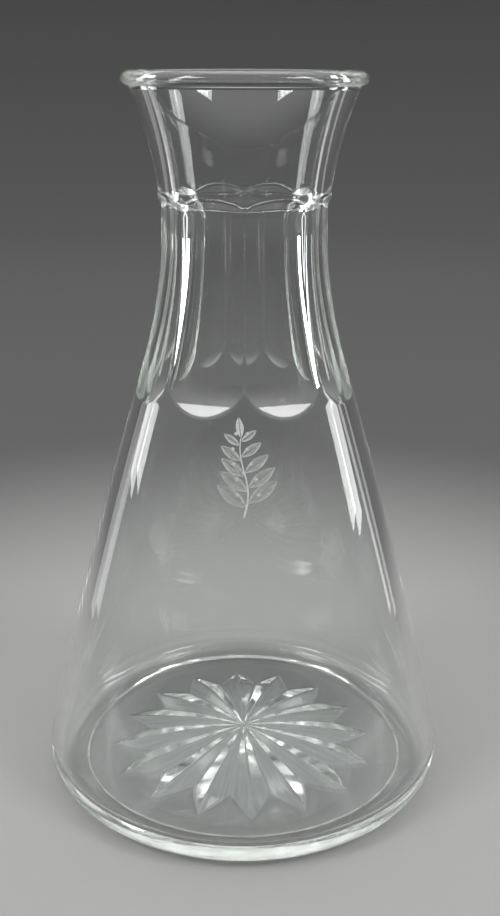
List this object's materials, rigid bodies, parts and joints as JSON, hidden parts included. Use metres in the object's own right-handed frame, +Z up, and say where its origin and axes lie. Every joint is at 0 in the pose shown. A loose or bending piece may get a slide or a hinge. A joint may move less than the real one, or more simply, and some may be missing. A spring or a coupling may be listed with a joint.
{
  "type": "carafe",
  "caption": "Clear cut-glass water carafe: conical body on a star-cut base, fluted neck, flared mouth with a rolled lip.",
  "frame": {"origin": "centre of the ring that the carafe stands on, at the lowest point of the glass", "axes": "+Z up along the axis of the carafe, -Y towards its front, +X to the right of a viewer who faces the front"},
  "size_m": [0.1238, 0.1238, 0.21],
  "materials": {
    "clear_glass": "polished"
  },
  "bodies": {
    "root": {"star_cut_base": "clear_glass", "body_cone": "clear_glass", "fluted_neck": "clear_glass", "flared_mouth": "clear_glass", "rolled_lip": "clear_glass"}
  },
  "joints": []
}
